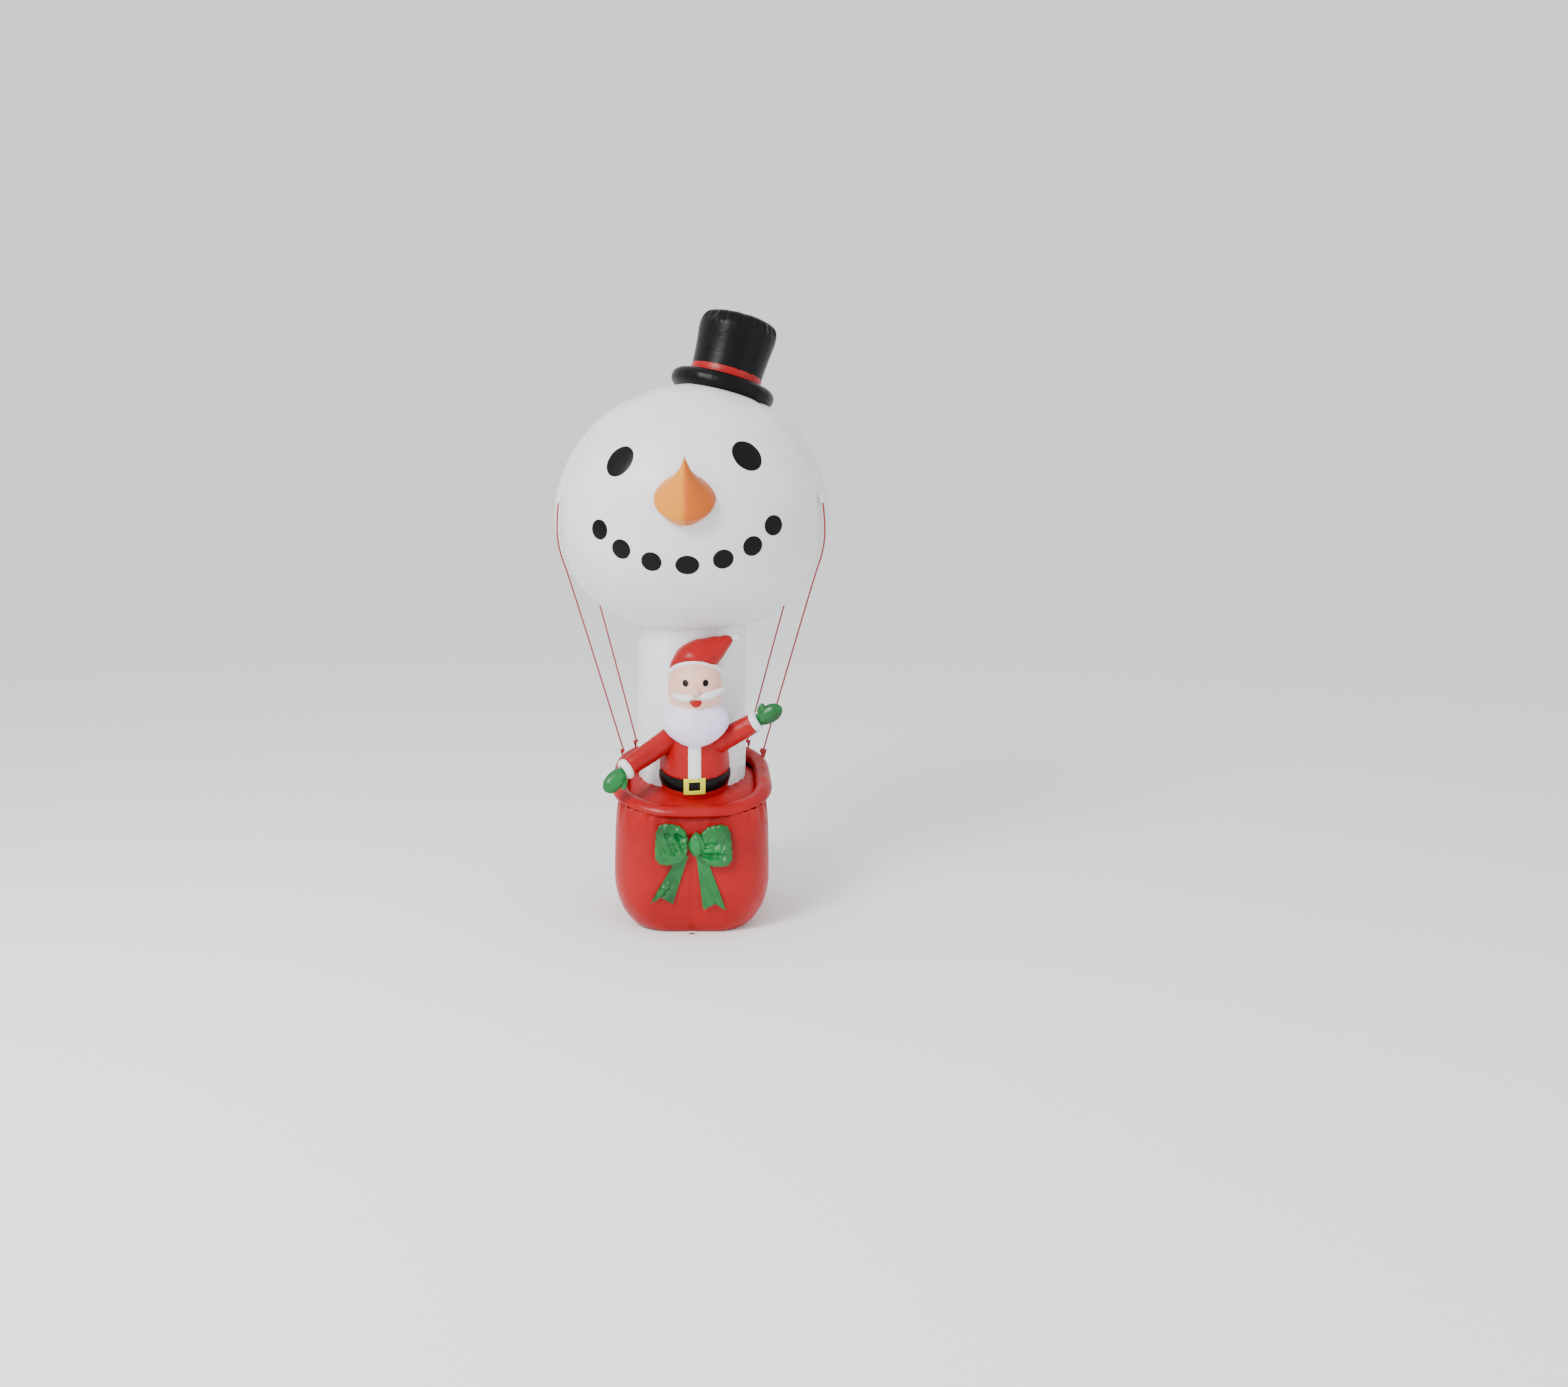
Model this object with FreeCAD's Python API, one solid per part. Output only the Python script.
import FreeCAD, Part
import math
import os

from FreeCAD import Placement, Rotation
from FreeCAD import Vector as V

# An inflatable yard decoration: a snowman's head in a top hat, shaped as a balloon, stands on a
# column in a sack. A small figure waves from the sack's mouth, and four cords run from the
# balloon to the sack's rolled collar.
# Millimetres, +Z up, the front faces -Y, origin at the centre of the base's resting face.

os.makedirs("parts", exist_ok=True)

# Driving dimensions -------------------------------------------------------------------------
FABRIC = 2.0                 # wall of every sewn shell

BALLOON_R = 552.0            # half width of the balloon
BALLOON_RISE = 540.0         # centre to the crown
BALLOON_DROP = 475.0         # how fast the underside closes
BALLOON_Z = 1563.0           # height of the widest ring
COLUMN_R = 217.0
COLUMN_Y = 40.0              # the column and balloon stand a little behind the sack's centre

SACK_X = 298.0               # half width
SACK_Y = 322.0               # half depth
SACK_CORNER = 150.0          # corner radius seen from above
SACK_FOOT_X = 118.0          # how far the floor panel is drawn in at the sides
SACK_FOOT_Y = 60.0           # and at the front and back
SACK_ROUND = 200.0           # height over which the lower edge is rounded

COLLAR_X = 282.0             # centreline half width
COLLAR_Y = 308.0             # centreline half depth
COLLAR_CORNER = 230.0
COLLAR_R = 36.0              # radius of the rolled tube
COLLAR_Z = 527.0             # height of the centreline at the middle
COLLAR_TILT = 13.0           # degrees, front edge low

FACE_YAW = -2.8              # degrees, the face looks a little to its right
SEAM_TURN = 67.0             # the side seams lie this far round from the face's middle

HAT_TILT = 15.5
HAT_FOOT = V(-24, 40, 1557)  # where the hat's axis starts, inside the balloon
BRIM_R = 177.0               # centreline radius of the brim's tube
BRIM_TUBE = 37.0
BRIM_UP = 549.0              # height of the brim along the hat's axis
BAND_LOW = 584.0
BAND_H = 37.0
# The crown's outline, radius and height along the axis: it flares, then rolls over at the lid.
CROWN_SIDE = ((142.5, 530), (143.5, 600), (150, 690), (159, 765), (161, 792), (156, 817),
              (140, 834), (108, 844), (55, 849), (0, 850))

CORD_D = 7.0
TAB_W = 26.0                 # webbing width
TAB_T = 2.0                  # webbing thickness

FIGURE_X = 10.0
TORSO_R = 139.0
TORSO_Y = -105.0
HEAD_R = 107.0
HEAD_RISE = 122.0
HEAD_AT = V(13, -200, 905)
SHOULDER_R = 44.0
SLEEVE_R = 42.0
CUFF_R = 42.0
SHOULDER_LEFT = V(-98, -172, 702)
SHOULDER_RIGHT = V(116, -172, 702)
WRIST_LEFT = V(-249, -247, 607)
WRIST_RIGHT = V(243, -205, 779)
ARM_SWING = 20.0             # degrees each way
ARM_GAP = 1.0                # shoulder clearance

BLOWER_R = 75.0
BLOWER_Z = 205.0
BLOWER_DEPTH = 95.0
SHAFT_R = 3.0
SHAFT_PLAY = 0.05

ZIP_Z = 375.0
ZIP_HALF = 150.0

EYELET_R = 5.0
BORE_EXTRA = 5.0             # cutters run this far past the faces they open


# General helpers ----------------------------------------------------------------------------
def save(name, shape):
    shape.exportStep("parts/" + name + ".step")
    solids = len(shape.Solids)
    print(name, "solids", solids, "valid", shape.isValid(), "volume", round(shape.Volume))


def largest(shape):
    """The biggest solid of a cut, without its crumbs."""
    return max(shape.Solids, key=lambda solid: solid.Volume)


def polar(azimuth):
    """Unit vector in plan; 0 degrees faces the front, positive turns towards +X."""
    turn = math.radians(azimuth)
    return V(math.sin(turn), -math.cos(turn), 0)


def rounded_wire(half_x, half_y, corner, z=0.0):
    """A rectangle with round corners, centred on the Z axis."""
    straight_x = half_x - corner
    straight_y = half_y - corner
    edges = []
    for quarter in range(4):
        sx = (1, -1, -1, 1)[quarter]
        sy = (1, 1, -1, -1)[quarter]
        centre = V(sx * straight_x, sy * straight_y, z)
        start = 90.0 * quarter
        edges.append(Part.makeCircle(corner, centre, V(0, 0, 1), start, start + 90.0))
    joined = []
    for index, arc in enumerate(edges):
        following = edges[(index + 1) % 4]
        joined.append(arc)
        joined.append(Part.makeLine(arc.lastVertex().Point, following.firstVertex().Point))
    return Part.Wire(joined)


def ellipse_wire(half_x, half_y, centre):
    if half_x >= half_y:
        curve = Part.Ellipse(V(0, 0, 0), half_x, half_y)
        turn = 0.0
    else:
        curve = Part.Ellipse(V(0, 0, 0), half_y, half_x)
        turn = 90.0
    wire = Part.Wire([curve.toShape()])
    wire.Placement = Placement(centre, Rotation(V(0, 0, 1), turn))
    return wire


def turned(profile_edges):
    """Solid of revolution about Z from edges drawn in the XZ half plane."""
    face = Part.Face(Part.Wire(profile_edges))
    return face.revolve(V(0, 0, 0), V(0, 0, 1), 360)


def ellipse_arc(half_x, half_z, low, high):
    """Part of an ellipse in the XZ plane, between two angles in radians."""
    tall = half_z > half_x
    shift = math.pi / 2.0 if tall else 0.0
    curve = Part.Ellipse(V(0, 0, 0), max(half_x, half_z), min(half_x, half_z))
    shape = Part.ArcOfEllipse(curve, low - shift, high - shift).toShape()
    if tall:
        shape.rotate(V(0, 0, 0), V(0, 0, 1), 90)
    shape.rotate(V(0, 0, 0), V(1, 0, 0), 90)
    return shape


def spheroid(radius, half_axis, centre, axis):
    """An egg or a lens: an ellipse turned about the given axis."""
    half_turn = math.pi / 2.0
    under = ellipse_arc(radius, half_axis, -half_turn, 0.0)
    above = ellipse_arc(radius, half_axis, 0.0, half_turn)
    spine = Part.makeLine(V(0, 0, half_axis), V(0, 0, -half_axis))
    return aimed(turned([under, above, spine]), centre, axis)


def aimed(shape, at, direction):
    """Turns a shape built along +Z to point in the given direction from the given place."""
    shape.Placement = Placement(at, Rotation(V(0, 0, 1), direction))
    return shape


def tube_along(points, diameter, name):
    """A round cord: straight runs joined by tangent arcs. Prints the radii and the volume."""
    edges = []
    last = points[0]
    radii = []
    for index in range(1, len(points) - 1):
        here = points[index]
        back = points[index - 1] - here
        ahead = points[index + 1] - here
        half_turn = (math.pi - back.getAngle(ahead)) / 2.0
        reach = 0.45 * min(back.Length, ahead.Length)
        radius = reach / math.tan(half_turn)
        start = here + back.normalize() * reach
        end = here + ahead.normalize() * reach
        inward = (back + ahead).normalize()
        middle = here + inward * (radius / math.cos(half_turn) - radius)
        edges.append(Part.LineSegment(last, start).toShape())
        edges.append(Part.Arc(start, middle, end).toShape())
        last = end
        radii.append(round(radius))
    edges.append(Part.LineSegment(last, points[-1]).toShape())
    path = Part.Wire(edges)
    length = path.Length
    first_way = (points[1] - points[0]).normalize()
    ring = Part.Wire([Part.makeCircle(diameter / 2.0, points[0], first_way)])
    tube = path.makePipeShell([ring], True, False)
    expected = math.pi * diameter ** 2 / 4.0 * length
    print(name, "radii", radii, "length", round(length), "volume ratio", round(tube.Volume / expected, 4))
    return tube


# Balloon ------------------------------------------------------------------------------------
def balloon_solid(grow):
    """The filled balloon, grown by the given amount all round."""
    radius = BALLOON_R + grow
    neck = COLUMN_R + grow
    rise = BALLOON_RISE + grow
    drop = BALLOON_DROP + grow
    close = math.acos(neck / radius)
    top = ellipse_arc(radius, rise, 0.0, math.pi / 2.0)
    under = ellipse_arc(radius, drop, -close, 0.0)
    floor_z = -drop * math.sin(close)
    axis = Part.makeLine(V(0, 0, rise), V(0, 0, floor_z))
    base = Part.makeLine(V(0, 0, floor_z), V(neck, 0, floor_z))
    solid = turned([axis, base, under, top])
    solid.translate(V(0, COLUMN_Y, BALLOON_Z))
    return solid


def neck_z():
    """Height at which the balloon's underside meets the column."""
    return BALLOON_Z - BALLOON_DROP * math.sin(math.acos(COLUMN_R / BALLOON_R))


def balloon_point(azimuth, z, standoff=0.0):
    """A point off the balloon's surface at a compass angle and a height."""
    rise = z - BALLOON_Z
    span = BALLOON_RISE if rise > 0 else BALLOON_DROP
    radius = BALLOON_R * math.sqrt(1.0 - (rise / span) ** 2)
    normal = polar(azimuth) * (radius / BALLOON_R ** 2) + V(0, 0, rise / span ** 2)
    normal.normalize()
    return V(0, COLUMN_Y, z) + polar(azimuth) * radius + normal * standoff, normal


def balloon_panels():
    """Two panels joined by a seam on each side, in front of the widest place."""
    shell = balloon_solid(0).cut(balloon_solid(-FABRIC))
    opening = Part.makeCylinder(COLUMN_R - FABRIC, 60, V(0, COLUMN_Y, neck_z() - 30))
    shell = shell.cut(opening)
    seam_y = COLUMN_Y - BALLOON_R * math.cos(math.radians(SEAM_TURN))
    ahead = Part.makeBox(4000, 2000, 4000, V(-2000, seam_y - 2000, 0))
    save("balloon_front", shell.common(ahead))
    save("balloon_back", shell.cut(ahead))


def face_patch(azimuth, z, half_w, half_h, roll):
    """A thin oval patch that lies on the balloon."""
    at, normal = balloon_point(azimuth, z)
    side = V(0, 0, 1).cross(normal).normalize()
    up = normal.cross(side).normalize()
    outline = ellipse_wire(half_w, half_h, V(0, 0, 0))
    outline.rotate(V(0, 0, 0), V(0, 0, 1), roll)
    prism = Part.Face(outline).extrude(V(0, 0, 120))
    prism.Placement = Placement(at - normal * 60, Rotation(side, up, normal, "ZXY"))
    skin = balloon_solid(1.2).cut(balloon_solid(0))
    return skin.common(prism)


def face():
    """Two tilted oval eyes and seven round mouth patches in a smile."""
    save("eye_left", face_patch(FACE_YAW - 28.0, 1758.0, 53.0, 62.0, -28.0))
    save("eye_right", face_patch(FACE_YAW + 26.0, 1776.0, 55.0, 62.0, 34.0))
    dots = []
    # Compass angle, height and half width, from the viewer's left to right.
    mouth = ((-38.0, 1510, 37), (-28.8, 1439, 38), (-16.5, 1394, 38), (-1.9, 1382, 43),
             (12.5, 1403, 38), (24.1, 1450, 38), (32.5, 1525, 39))
    for turn, z, half_w in mouth:
        dots.append(face_patch(turn, z, half_w, 37.0, 0.0))
    save("mouth_dots", Part.makeCompound(dots))


def smooth_side(points, inset):
    """A smooth outline through (radius, height) points, drawn in by the inset."""
    curve = Part.BSplineCurve()
    curve.interpolate([V(max(0.0, r - inset), 0, z) for r, z in points])
    return curve.toShape()


def nose():
    """A carrot of two sewn halves, aimed forwards and up, hollow towards its tip."""
    side_points = ((56, -114), (67, -68), (83, -27), (103, 0), (112, 27), (93, 57), (65, 91),
                   (40, 125), (22, 159), (9, 194), (0, 228))
    shell = []
    for inset in (0.0, FABRIC):
        points = [point for point in side_points if point[0] > inset * 3.0]
        points.append((0, side_points[-1][1] - inset * 6.0))
        side = smooth_side(points, inset)
        low = points[0]
        spine = Part.makeLine(V(0, 0, points[-1][1]), V(0, 0, low[1]))
        base = Part.makeLine(V(0, 0, low[1]), V(low[0] - inset, 0, low[1]))
        shell.append(turned([side, spine, base]))
    carrot = shell[0].cut(shell[1])
    half = Part.makeBox(300, 600, 600, V(0, -300, -150))
    left = carrot.cut(half)
    right = carrot.common(half)
    at, normal = balloon_point(FACE_YAW, 1604.5, -25.0)
    lift = math.radians(44.0)
    aim = V(0.0, -math.cos(lift), math.sin(lift)).normalize()
    side = V(0, 0, 1).cross(aim).normalize()
    up = aim.cross(side)
    placement = Placement(at, Rotation(side, up, aim, "ZXY"))
    body = balloon_solid(0)
    for name, piece in (("nose_left_panel", left), ("nose_right_panel", right)):
        piece.Placement = placement
        save(name, largest(piece.cut(body)))


# Top hat ------------------------------------------------------------------------------------
def crown(inset):
    """The filled crown, drawn in by the inset."""
    points = [(r, z - inset) for r, z in CROWN_SIDE]
    side = smooth_side(points, inset)
    low = points[0]
    spine = Part.makeLine(V(0, 0, points[-1][1]), V(0, 0, low[1]))
    foot = Part.makeLine(V(0, 0, low[1]), V(low[0] - inset, 0, low[1]))
    return turned([side, spine, foot])


def hat():
    """A tube brim, a band and a flared crown on one tilted axis."""
    tilt = math.radians(HAT_TILT)
    axis = V(math.sin(tilt), 0, math.cos(tilt))
    body = balloon_solid(0)
    brim_full = Part.makeTorus(BRIM_R, BRIM_TUBE, V(0, 0, BRIM_UP), V(0, 0, 1))
    hollow = Part.makeTorus(BRIM_R, BRIM_TUBE - FABRIC, V(0, 0, BRIM_UP), V(0, 0, 1))
    full = crown(0)
    shell = full.cut(crown(FABRIC))
    ring = Part.makeCylinder(CROWN_SIDE[1][0] + 2.5, BAND_H, V(0, 0, BAND_LOW))
    band = ring.cut(full)
    brim = brim_full.cut(hollow)
    pieces = (("hat_brim", brim.cut(full)), ("hat_band", band.cut(brim_full)), ("hat_crown", shell))
    for name, piece in pieces:
        aimed(piece, HAT_FOOT, axis)
        save(name, largest(piece.cut(body)))


# Column and sack ----------------------------------------------------------------------------
def column_solid(grow, low, high):
    return Part.makeCylinder(COLUMN_R + grow, high - low, V(0, COLUMN_Y, low))


def collar_path():
    path = rounded_wire(COLLAR_X, COLLAR_Y, COLLAR_CORNER)
    path.rotate(V(0, 0, 0), V(1, 0, 0), COLLAR_TILT)
    path.translate(V(0, 0, COLLAR_Z))
    return path


def collar_solid(radius):
    """The rolled edge as a round tube along the tilted ring."""
    path = collar_path()
    start = path.OrderedEdges[0]
    at = start.valueAt(start.FirstParameter)
    way = start.tangentAt(start.FirstParameter)
    ring = Part.Wire([Part.makeCircle(radius, at, way)])
    return path.makePipeShell([ring], True, False)


def sack_solid(inset, low):
    """The filled sack, drawn in towards the floor by a rounded lower edge."""
    heights = (0.0, 8.0, 30.0, 70.0, 125.0, SACK_ROUND, 340.0, 420.0, 620.0)
    pinch = (0.0, 0.0, 0.0, 0.0, 0.0, 0.0, 0.0, 10.0, 16.0)
    wires = []
    for z, waist in zip(heights, pinch):
        depth = max(0.0, (SACK_ROUND - z) / SACK_ROUND)
        curl = 1.0 - math.sqrt(1.0 - depth ** 2)
        half_x = SACK_X - SACK_FOOT_X * curl - waist - inset
        half_y = SACK_Y - SACK_FOOT_Y * curl - waist - inset
        wires.append(rounded_wire(half_x, half_y, SACK_CORNER - inset, z + low))
    return Part.makeLoft(wires, True, True)


def under_collar(offset):
    """Everything below the collar's tilted plane, lowered by the offset."""
    half = Part.makeBox(2000, 2000, 1000, V(-1000, -1000, -1000))
    half.rotate(V(0, 0, 0), V(1, 0, 0), COLLAR_TILT)
    half.translate(V(0, 0, COLLAR_Z - offset))
    return half


def top_panel_solid(drop):
    """The cover that bulges from the collar up to the foot of the column, filled below."""
    slope = 0.55
    inner = COLUMN_R - 12.0
    outer = COLUMN_R + 175.0
    rise = (outer - inner) * slope
    cone = Part.makeCone(outer, inner, rise, V(0, 0, -rise))
    cone.rotate(V(0, 0, 0), V(1, 0, 0), COLLAR_TILT / 2.0)
    cone.translate(V(0, COLUMN_Y, COLLAR_Z + 18.0 - drop))
    return cone


def blower_cutter(radius, start, end):
    cutter = Part.makeCylinder(radius, end - start, V(0, start, BLOWER_Z), V(0, 1, 0))
    return cutter


def sack():
    """Wall with the blower's port, floor panel, bulged cover, rolled collar and column."""
    full_collar = collar_solid(COLLAR_R)
    wall = sack_solid(0, 0).cut(sack_solid(FABRIC, 0))
    wall = wall.common(under_collar(0)).cut(full_collar)
    wall = wall.cut(blower_cutter(BLOWER_R + 0.5, SACK_Y - 60, SACK_Y + 20))
    save("sack_wall", wall)
    foot_x = SACK_X - SACK_FOOT_X - FABRIC
    foot_y = SACK_Y - SACK_FOOT_Y - FABRIC
    floor_face = Part.Face(rounded_wire(foot_x, foot_y, foot_x * 0.4))
    floor = floor_face.extrude(V(0, 0, FABRIC)).cut(wall)
    save("sack_base_panel", largest(floor))
    hem = COLLAR_R - 1.0
    edge = rounded_wire(COLLAR_X - hem, COLLAR_Y - hem, COLLAR_CORNER - hem, -500.0)
    inside_collar = Part.Face(edge).extrude(V(0, 0, 1000))
    inside_collar.rotate(V(0, 0, 0), V(1, 0, 0), COLLAR_TILT)
    inside_collar.translate(V(0, 0, COLLAR_Z))
    cover = top_panel_solid(0).cut(top_panel_solid(FABRIC)).common(inside_collar)
    cover = cover.cut(column_solid(0, 300, 900))
    save("sack_top_panel", cover)
    roll = full_collar.cut(collar_solid(COLLAR_R - FABRIC))
    save("collar", roll)
    tube = column_solid(0, COLLAR_Z - 30, neck_z()).cut(column_solid(-FABRIC, COLLAR_Z - 40, neck_z() + 10))
    tube = tube.cut(top_panel_solid(0)).cut(full_collar)
    save("column", tube)


# Cords and their tabs -----------------------------------------------------------------------
CORD_NAMES = ("tether_front_left", "tether_front_right", "tether_back_left", "tether_back_right")


def cord_marks(front, side):
    """Compass angle, height and standoff of each bend, and the end above the collar."""
    if not front:
        marks = ((118.0, 1600.0, 5.5), (118.5, 1510.0, 12.0), (119.5, 1420.0, 12.0),
                 (121.0, 1338.0, 12.0))
        return marks, V(236, 262, 630)
    if side < 0:
        marks = ((68.0, 1614.0, 5.5), (69.0, 1520.0, 12.0), (72.0, 1426.0, 12.0), (77.0, 1338.0, 12.0))
        return marks, V(286, 176, 606)
    marks = ((64.5, 1614.0, 5.5), (66.0, 1520.0, 12.0), (69.5, 1426.0, 12.0), (75.0, 1338.0, 12.0))
    return marks, V(298, 176, 606)


def cord_route(front, side):
    """Down over the balloon's flank, then straight to the collar."""
    marks, end = cord_marks(front, side)
    route = []
    for azimuth, z, standoff in marks:
        point, normal = balloon_point(azimuth * side, z, standoff)
        route.append(point)
    route.append(V(end.x * side, end.y, end.z))
    print("route", [tuple(round(v / 1000.0, 4) for v in point) for point in route])
    return route


def cords():
    balloon_tabs = []
    collar_tabs = []
    cases = ((True, -1), (True, 1), (False, -1), (False, 1))
    body = balloon_solid(0)
    for name, (front, side) in zip(CORD_NAMES, cases):
        route = cord_route(front, side)
        cord = tube_along(route, CORD_D, name)
        print("clear of balloon", round(cord.distToShape(body)[0], 2),
              "collar", round(cord.distToShape(collar_solid(COLLAR_R))[0], 2))
        save(name, cord)
        azimuth, z, standoff = cord_marks(front, side)[0][0]
        at, normal = balloon_point(azimuth * side, z)
        across = V(0, 0, 1).cross(normal).normalize()
        up = normal.cross(across)
        tab = Part.makeBox(TAB_W, 34.0, 8.0, V(-TAB_W / 2.0, 0.0, -1.0))
        tab.Placement = Placement(at, Rotation(across, up, normal, "ZXY"))
        balloon_tabs.append(tab.cut(body).cut(cord))
        end = route[-1]
        way = (route[-2] - end).normalize()
        block = Part.makeBox(TAB_W, 10.0, 44.0, V(-TAB_W / 2.0, -5.0, -44.0))
        block = aimed(block, end, way)
        collar_tabs.append(block.cut(collar_solid(COLLAR_R)).cut(sack_solid(0, 0)))
    save("balloon_tabs", Part.makeCompound(balloon_tabs))
    save("collar_tabs", Part.makeCompound([largest(tab) for tab in collar_tabs]))


# Bow ----------------------------------------------------------------------------------------
KNOT_AT = V(17, -SACK_Y - 28.5, 348)
TAIL_Y = -SACK_Y - 3.5


def bow_loop(half_x, half_z, depth):
    """A boxy stuffed pad with rolled edges, facing the front."""
    pad = Part.Face(rounded_wire(half_x, half_z, half_x * 0.72)).extrude(V(0, 0, depth))
    pad = pad.makeFillet(depth * 0.4, pad.Edges)
    pad.rotate(V(0, 0, 0), V(1, 0, 0), 90)
    return pad


def bow_tail(top, low):
    """A notched ribbon end that hangs from behind its loop."""
    half_top = 22.0
    half_low = 42.0
    corners = [V(top.x - half_top, TAIL_Y, top.z), V(top.x + half_top, TAIL_Y, top.z),
               V(low.x + half_low, TAIL_Y, low.z), V(low.x, TAIL_Y, low.z + 24),
               V(low.x - half_low, TAIL_Y, low.z)]
    return Part.Face(Part.makePolygon(corners + corners[:1])).extrude(V(0, FABRIC, 0))


def bow():
    """Two stuffed loops, a knot and two notched tails that hang from it."""
    knot = spheroid(27, 45, KNOT_AT, V(0, 0, 1))
    save("bow_knot", knot)
    loop_depth = 34.0
    places = (("bow_loop_left", V(-76, 0, 346), 3.0), ("bow_loop_right", V(88, 0, 341), -5.0))
    for name, centre, lean in places:
        loop = bow_loop(61.0, 78.0, loop_depth)
        loop.rotate(V(0, 0, 0), V(0, 1, 0), lean)
        loop.translate(V(centre.x, -SACK_Y - 4.3, centre.z))
        save(name, largest(loop.cut(knot)))
    save("bow_tail_left", bow_tail(V(-53, 0, 262), V(-113, 0, 122)))
    save("bow_tail_right", bow_tail(V(56, 0, 254), V(84, 0, 99)))


# Figure -------------------------------------------------------------------------------------
def torso_solid(grow):
    """A round belly whose shoulders close in under the beard."""
    shoulder_z = 700.0
    foot_z = 440.0
    bulge = Part.Arc(V(TORSO_R * 0.84 + grow, 0, foot_z), V(TORSO_R + grow, 0, 585),
                     V(TORSO_R * 0.90 + grow, 0, shoulder_z)).toShape()
    crown_z = 768.0 + grow
    crown = Part.Arc(V(TORSO_R * 0.90 + grow, 0, shoulder_z), V(TORSO_R * 0.62 + grow, 0, 750 + grow * 0.8),
                     V(0, 0, crown_z)).toShape()
    spine = Part.makeLine(V(0, 0, crown_z), V(0, 0, foot_z))
    foot = Part.makeLine(V(0, 0, foot_z), V(TORSO_R * 0.84 + grow, 0, foot_z))
    solid = turned([foot, bulge, crown, spine])
    solid.translate(V(FIGURE_X, TORSO_Y, 0))
    return solid


def head_solid(grow):
    return spheroid(HEAD_R + grow, HEAD_RISE + grow, HEAD_AT, V(0, 0, 1))


def beard_solid(grow):
    return spheroid(92 + grow, 129 + grow, V(13, -216, 782), V(1, 0, 0))


def arm(shoulder, wrist, grow=0.0):
    """Sleeve with a round shoulder, tapering to the wrist."""
    way = wrist - shoulder
    length = way.Length
    ball = Part.makeSphere(SHOULDER_R + grow, shoulder)
    sleeve = Part.makeCone(SLEEVE_R + grow, SLEEVE_R - 4 + grow, length, shoulder, way)
    return ball.fuse(sleeve)


def arm_sweep(shoulder, wrist):
    """The space that the arm needs over its whole swing."""
    sweep = Part.makeSphere(SHOULDER_R + ARM_GAP, shoulder)
    steps = 5
    for index in range(steps):
        angle = -ARM_SWING + 2.0 * ARM_SWING * index / (steps - 1)
        turned_arm = arm(shoulder, wrist, ARM_GAP + 1.0)
        turned_arm = turned_arm.cut(Part.makeSphere(SHOULDER_R + ARM_GAP, shoulder))
        turned_arm.rotate(shoulder, V(0, 1, 0), angle)
        sweep = sweep.fuse(turned_arm)
    return sweep


def mitten(wrist, way, thumb_side):
    """A rounded hand with a thumb, beyond the cuff."""
    palm = spheroid(36, 61, V(0, 0, 56), V(0, 0, 1))
    hollow = spheroid(36 - FABRIC, 61 - FABRIC, V(0, 0, 56), V(0, 0, 1))
    thumb = spheroid(13, 27, V(0, 0, 0), V(0, 0, 1))
    thumb.rotate(V(0, 0, 0), V(0, 1, 0), 38.0 * thumb_side)
    thumb.translate(V(36 * thumb_side, 0, 38))
    hand = palm.fuse(thumb).cut(hollow)
    front = V(0, -1, 0)
    across = front.cross(way).normalize()
    depth = way.cross(across).normalize()
    hand.Placement = Placement(wrist, Rotation(across, depth, way, "ZXY"))
    return hand


def swept_column(shoulder):
    """The space that the column takes up as seen from an arm over its whole swing."""
    column = column_solid(ARM_GAP, 450, 1000)
    space = column
    for angle in (-ARM_SWING, -ARM_SWING / 2.0, ARM_SWING / 2.0, ARM_SWING):
        turned_column = column.copy()
        turned_column.rotate(shoulder, V(0, 1, 0), angle)
        space = space.fuse(turned_column)
    return space


def arms():
    thumb_side = -1
    cases = (("left", SHOULDER_LEFT, WRIST_LEFT, 12.0), ("right", SHOULDER_RIGHT, WRIST_RIGHT, 0.0))
    for side, shoulder, wrist, bend in cases:
        way = (wrist - shoulder).normalize()
        cuff_half = 15.0
        cuff = Part.makeCylinder(CUFF_R, 2 * cuff_half, wrist - way * cuff_half, way)
        cuff = cuff.makeFillet(11.0, cuff.Edges[0:1] + cuff.Edges[2:3])
        sleeve = arm(shoulder, wrist).cut(arm(shoulder, wrist, -FABRIC)).cut(cuff)
        sleeve = sleeve.cut(swept_column(shoulder))
        hand_way = Rotation(V(0, 1, 0), -bend).multVec(way)
        hand = mitten(wrist + way * 4.0, hand_way, thumb_side).cut(cuff)
        save("sleeve_" + side, largest(sleeve))
        save("cuff_" + side, cuff)
        save("mitten_" + side, largest(hand))


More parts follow.
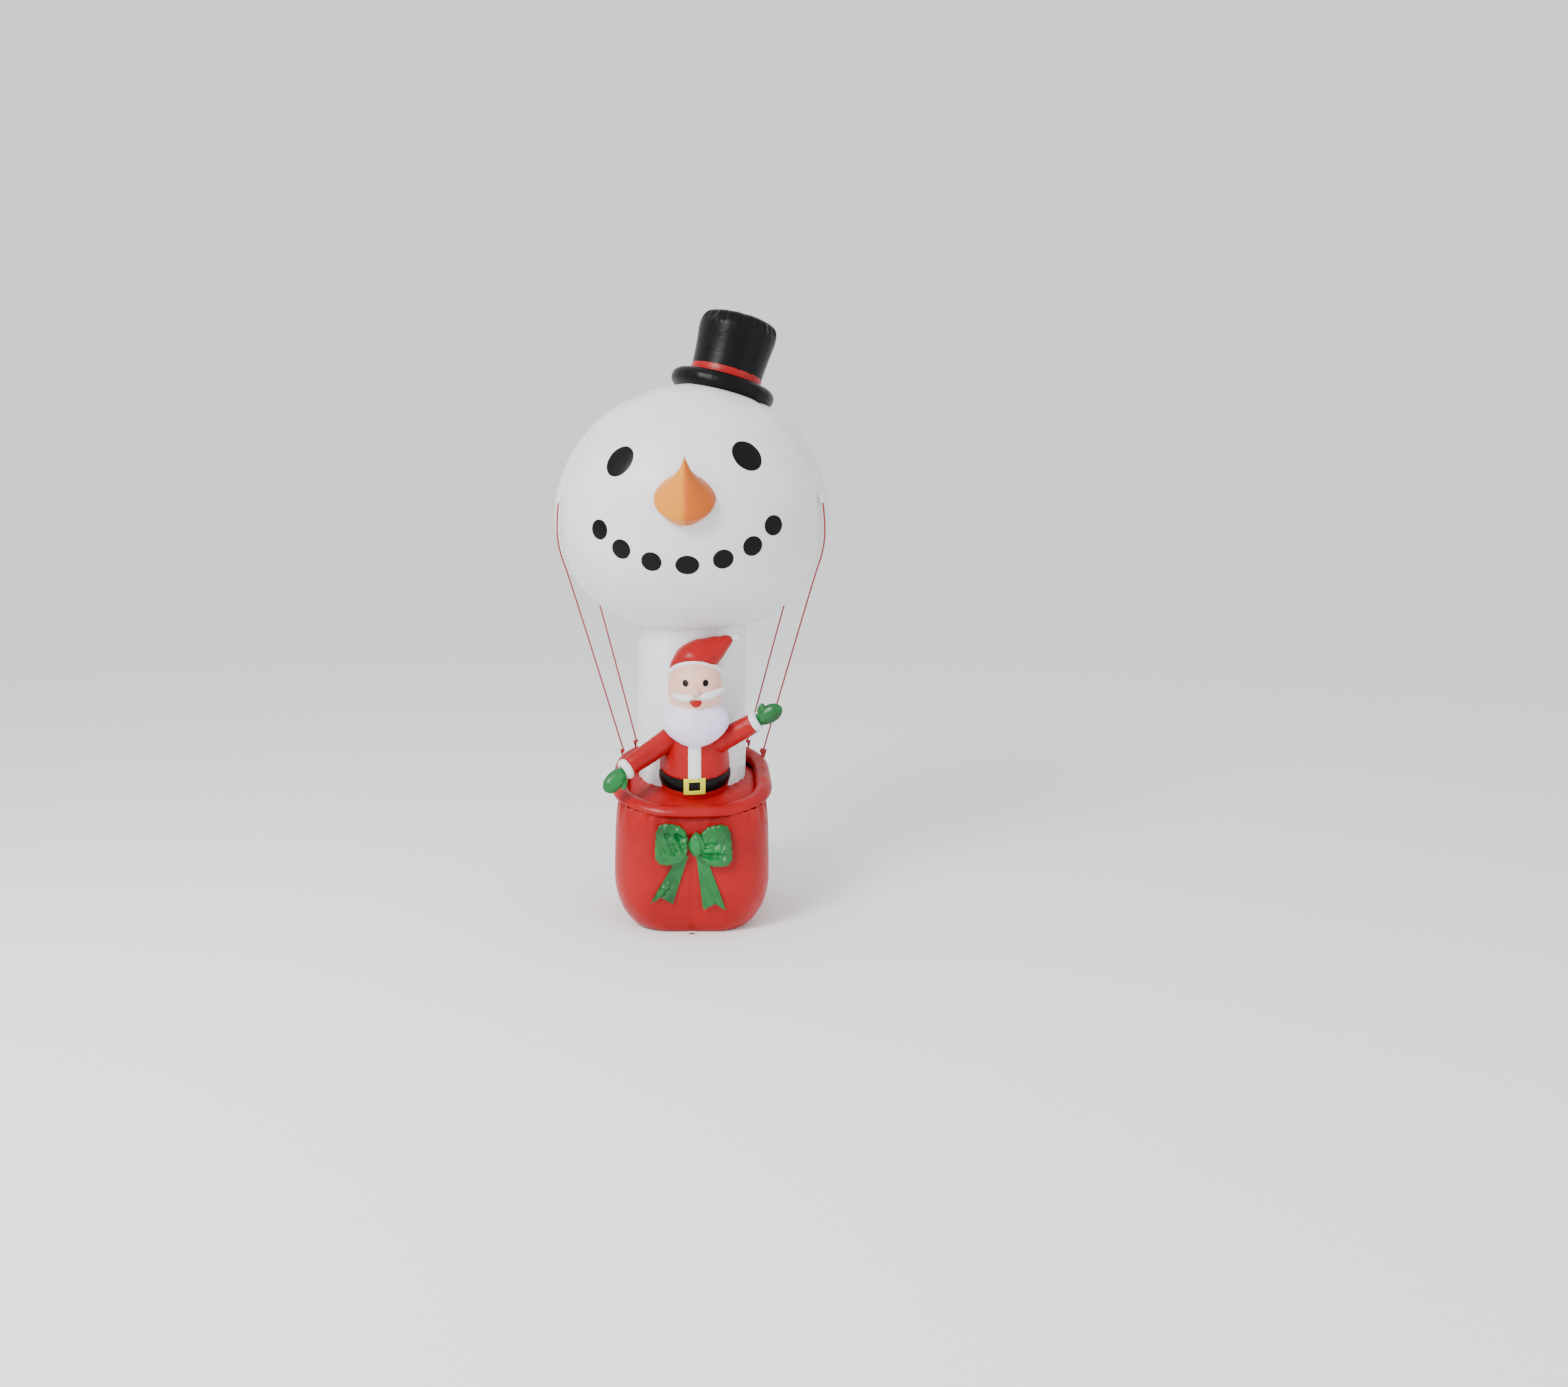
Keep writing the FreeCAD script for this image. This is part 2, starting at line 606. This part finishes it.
def figure():
    """Coat with placket, belt and buckle; head with beard, cap and small features."""
    column = column_solid(0.3, 300, 1400)
    left_sweep = arm_sweep(SHOULDER_LEFT, WRIST_LEFT)
    right_sweep = arm_sweep(SHOULDER_RIGHT, WRIST_RIGHT)
    sweeps = left_sweep.fuse(right_sweep)
    body = torso_solid(0)
    cover = top_panel_solid(0)
    head = head_solid(0).cut(column).cut(body)
    torso = body.cut(torso_solid(-FABRIC)).cut(column).cut(sweeps).cut(cover)
    save("figure_torso", largest(torso))
    save("figure_head", largest(head.cut(head_solid(-FABRIC))))

    placket_box = Part.makeBox(48, 200, 130, V(FIGURE_X - 24, -400, 574))
    placket = torso_solid(2.0).cut(body).common(placket_box).cut(beard_solid(0))
    save("coat_placket", placket)
    belt_slab = Part.makeBox(400, 400, 48, V(-200, -200, -24))
    belt_slab.rotate(V(0, 0, 0), V(1, 0, 0), COLLAR_TILT)
    belt_slab.translate(V(FIGURE_X, TORSO_Y, 570))
    belt = torso_solid(3.0).cut(body).common(belt_slab).cut(column).cut(placket).cut(cover)
    save("belt", belt)
    buckle_box = Part.makeBox(82, 60, 62, V(FIGURE_X - 41, -280, 508))
    buckle_hole = Part.makeBox(42, 80, 30, V(FIGURE_X - 21, -290, 524))
    buckle = torso_solid(6.0).cut(torso_solid(3.0)).common(buckle_box).cut(buckle_hole).cut(cover)
    save("buckle", buckle)

    beard = beard_solid(0).cut(beard_solid(-FABRIC)).cut(head_solid(0)).cut(body).cut(column).cut(sweeps)
    save("figure_beard", largest(beard))
    whiskers = []
    left_tuft = spheroid(16, 44, V(-30, -300, 889), V(-1, 0.3, 0.05))
    right_tuft = spheroid(16, 54, V(72, -292, 902), V(1, 0.35, 0.42))
    for tuft in (left_tuft, right_tuft):
        whiskers.append(largest(tuft.cut(head_solid(0)).cut(beard_solid(0))))
    moustache = Part.makeCompound(whiskers)
    save("figure_moustache", moustache)
    nose_ball = Part.makeSphere(17, V(13, -316, 908))
    save("figure_nose", nose_ball.cut(head_solid(0)).cut(moustache))
    mouth = Part.makeCylinder(19, 40, V(15, -314, 860), V(0, 1, 0))
    mouth = mouth.cut(head_solid(0)).cut(beard_solid(0)).cut(moustache)
    save("figure_mouth", largest(mouth))
    eyes = []
    for side in (-1, 1):
        rod = Part.makeCylinder(9.0, 120, V(13 + side * 38, -360, 938), V(0, 1, 0))
        skin = head_solid(1.2).cut(head_solid(0))
        eyes.append(min(skin.common(rod).Solids, key=lambda solid: solid.CenterOfMass.y))
    save("figure_eyes", Part.makeCompound(eyes))
    figure_cap()


# Centre, facing direction and radius of each ring of the cap, from its rim to its tip.
CAP_RINGS = ((V(12, -176, 952), V(0, 0.59, 0.81), 99), (V(10, -180, 990), V(0.12, 0.35, 0.93), 94),
             (V(24, -186, 1022), V(0.45, 0.1, 0.88), 82), (V(56, -190, 1043), V(0.75, 0, 0.66), 66),
             (V(98, -191, 1066), V(0.84, 0, 0.54), 46), (V(132, -192, 1086), V(0.86, 0, 0.51), 27),
             (V(152, -192, 1098), V(0.86, 0, 0.51), 13))
POMPOM_AT = V(168, -194, 1101)


def cap_solid(inset):
    """The cap, a soft cone sewn from narrow gores that leans to the side as it narrows."""
    gores = 24
    wires = []
    for at, way, radius in CAP_RINGS:
        way = V(way).normalize()
        across = V(0, 1, 0).cross(way).normalize()
        up = way.cross(across)
        corners = []
        for step in range(gores):
            turn = 2.0 * math.pi * step / gores
            corners.append(at + (across * math.cos(turn) + up * math.sin(turn)) * (radius - inset))
        wires.append(Part.makePolygon(corners + corners[:1]))
    return Part.makeLoft(wires, True, False)


def figure_cap():
    column = column_solid(0.3, 300, 1400)
    full = cap_solid(0)
    trim = Part.makeTorus(98, 10, V(13, -174, 951), V(0, 0.59, 0.81))
    ball = Part.makeSphere(17, POMPOM_AT)
    cap = full.cut(head_solid(0)).cut(column).cut(trim).cut(ball)
    save("figure_cap", largest(cap))
    save("cap_trim", largest(trim.cut(head_solid(0)).cut(column)))
    save("cap_pompom", ball)


# Blower, lamps and ballast ------------------------------------------------------------------
def blower():
    """A centrifugal fan in a cup that fills the port in the sack's back."""
    back = SACK_Y
    front = back - BLOWER_DEPTH
    cup = blower_cutter(BLOWER_R, front, back + 1)
    cup = cup.cut(blower_cutter(BLOWER_R - 2.5, front + 3, back + 20))
    flange = blower_cutter(BLOWER_R + 9, back + 1, back + 4).cut(blower_cutter(BLOWER_R - 2.5, back, back + 20))
    outlet = Part.makeBox(60, 34, 40, V(-30, back - 46, BLOWER_Z + BLOWER_R - 20))
    cup = cup.fuse(flange).cut(outlet)
    screws = []
    for index in range(4):
        angle = math.radians(45 + 90 * index)
        spot = V(math.cos(angle) * (BLOWER_R + 4.5), 0, BLOWER_Z + math.sin(angle) * (BLOWER_R + 4.5))
        head = Part.makeCylinder(3.4, 2.2, V(spot.x, back + 4, spot.z), V(0, 1, 0))
        shank = Part.makeCylinder(1.5, 3.0, V(spot.x, back + 1, spot.z), V(0, 1, 0))
        screws.append(head.fuse(shank))
        cup = cup.cut(shank)
    motor_front = front + 3
    motor_back = motor_front + 40
    motor = blower_cutter(28, motor_front, motor_back)
    motor = motor.cut(blower_cutter(SHAFT_R + SHAFT_PLAY, motor_front + 6, motor_back + 5))
    gland_at = V(-84, back + 4, BLOWER_Z - 18)
    ear = Part.makeCylinder(12, 3, V(gland_at.x, back + 1, gland_at.z), V(0, 1, 0))
    cup = cup.fuse(ear.cut(blower_cutter(BLOWER_R - 2.5, back, back + 20)))
    gland = Part.makeCylinder(8, 12, gland_at, V(0, 1, 0))
    gland = gland.cut(Part.makeCylinder(2.6, 12 + BORE_EXTRA, gland_at, V(0, 1, 0)))
    save("blower_housing", cup.cut(Part.makeCompound(screws)))
    save("blower_screws", Part.makeCompound(screws))
    save("blower_motor", motor)
    save("power_inlet", gland)
    blower_grille(back)
    blower_impeller(motor_front + 8, motor_back)


def blower_grille(back):
    """A round guard with ring slots and four ribs."""
    disc = blower_cutter(BLOWER_R - 3.0, back - 4, back)
    for ring in range(4):
        outer = 64.0 - 14.0 * ring
        slot = blower_cutter(outer, back - 10, back + 10).cut(blower_cutter(outer - 9.0, back - 10, back + 10))
        for turn in (0, 45, 90, 135):
            rib = Part.makeBox(200, 20, 5, V(-100, back - 10, BLOWER_Z - 2.5))
            rib.rotate(V(0, back, BLOWER_Z), V(0, 1, 0), turn)
            slot = slot.cut(rib)
        disc = disc.cut(slot)
    save("blower_grille", disc)


def blower_impeller(shaft_from, motor_back):
    """Hub, back plate and curved-in blades, on a steel shaft that runs in the motor."""
    plate_y = motor_back + 4
    blades_deep = 24.0
    outer = 62.0
    wheel = blower_cutter(outer, plate_y, plate_y + 2.5)
    hub = blower_cutter(12, plate_y, plate_y + 22)
    wheel = wheel.fuse(hub)
    for index in range(16):
        blade = Part.makeBox(18, blades_deep, 2.0, V(outer - 19, plate_y + 1, BLOWER_Z - 1))
        blade.rotate(V(outer - 10, 0, BLOWER_Z), V(0, 1, 0), 24)
        blade.rotate(V(0, 0, BLOWER_Z), V(0, 1, 0), index * 22.5)
        wheel = wheel.fuse(blade)
    shaft = blower_cutter(SHAFT_R, shaft_from, plate_y + 20)
    save("blower_impeller", wheel.common(blower_cutter(outer + 0.5, plate_y - 1, plate_y + 60)).cut(shaft))
    save("impeller_shaft", shaft)


def lamps():
    """Three lamp pucks and the lead that feeds the highest one, clipped inside the column."""
    top_lamp = V(0, 150, 1372)
    pucks = []
    for spot in (top_lamp, V(13, -205, 800), V(-150, 60, 300)):
        pucks.append(Part.makeCylinder(22, 26, spot))
    save("lamps", Part.makeCompound(pucks))
    wall_y = COLUMN_Y + COLUMN_R - FABRIC - 8
    start_y = SACK_Y - 60
    route = [V(0, start_y, BLOWER_Z + BLOWER_R), V(0, start_y - 2, 345), V(0, wall_y - 8, 410),
             V(0, wall_y, 480), V(0, wall_y - 1, 1110), V(0, wall_y - 30, 1200), V(0, 185, 1290),
             V(0, 152, top_lamp.z)]
    save("lamp_lead", tube_along(route, 5.0, "lamp_lead"))


def ballast():
    bag = Part.makeBox(180, 150, 42, V(-90, -100, FABRIC))
    save("ballast_bag", bag.makeFillet(16.0, bag.Edges))


# Zipper and stake tabs ----------------------------------------------------------------------
def zipper():
    """A deflation zipper across the sack's back: tape, slider and pull."""
    tape_y = SACK_Y + 0.3
    tape = Part.makeBox(2 * ZIP_HALF, 1.2, 32, V(-ZIP_HALF, tape_y, ZIP_Z - 16))
    coil = Part.makeBox(2 * ZIP_HALF, 2.0, 5, V(-ZIP_HALF, tape_y + 1.2, ZIP_Z - 2.5))
    save("zipper_tape", tape.fuse(coil))
    slider_x = -ZIP_HALF + 14
    base = Part.makeBox(15, 4.0, 12, V(slider_x - 7.5, tape_y + 1.6, ZIP_Z - 6))
    groove = Part.makeBox(40, 3.2, 6, V(slider_x - 20, tape_y, ZIP_Z - 3))
    ear_low = Part.makeBox(5, 5.4, 7, V(slider_x - 2.5, tape_y + 5.4, ZIP_Z - 3.5))
    pin_at = V(slider_x, tape_y + 8.5, ZIP_Z)
    slider = base.cut(groove).fuse(ear_low)
    slider = slider.fuse(Part.makeCylinder(1.2, 12, pin_at - V(6, 0, 0), V(1, 0, 0)))
    save("zipper_slider", slider)
    pull = Part.makeBox(11, 1.8, 32, V(slider_x - 5.5, pin_at.y - 0.9, ZIP_Z - 32))
    knuckle = Part.makeCylinder(2.6, 11, pin_at - V(5.5, 0, 0), V(1, 0, 0))
    slot = Part.makeBox(6.0, 12, 12, V(slider_x - 3.0, pin_at.y - 6, ZIP_Z - 6))
    pull = pull.fuse(knuckle).cut(slot)
    pull = pull.cut(Part.makeCylinder(1.25, 20, pin_at - V(10, 0, 0), V(1, 0, 0)))
    save("zipper_pull", pull)


def stake_tabs():
    """Webbing tabs under the front and back edges, each with a metal eyelet for a stake."""
    tabs = []
    eyelets = []
    reach = 54.0
    foot_y = SACK_Y - SACK_FOOT_Y
    for side in (-1, 1):
        low_y = min(side * (foot_y + 1.0), side * (foot_y + reach))
        tab = Part.makeBox(TAB_W + 4, reach - 1.0, TAB_T, V(-TAB_W / 2 - 2, low_y, 0))
        centre = V(0, side * (foot_y + reach - 17.0), 0)
        hole = Part.makeCylinder(EYELET_R + 1.5, 20, centre - V(0, 0, 10))
        collar = Part.makeCylinder(EYELET_R + 1.5, TAB_T, centre)
        rim = Part.makeCylinder(EYELET_R + 4.0, 0.8, centre + V(0, 0, TAB_T))
        bore = Part.makeCylinder(EYELET_R, 20, centre - V(0, 0, 10))
        eyelets.append(collar.fuse(rim).cut(bore))
        tabs.append(tab.cut(hole).cut(sack_solid(0, 0)))
    save("stake_tabs", Part.makeCompound(tabs))
    save("stake_eyelets", Part.makeCompound(eyelets))


balloon_panels()
face()
nose()
hat()
sack()
cords()
bow()
figure()
arms()
blower()
lamps()
ballast()
zipper()
stake_tabs()
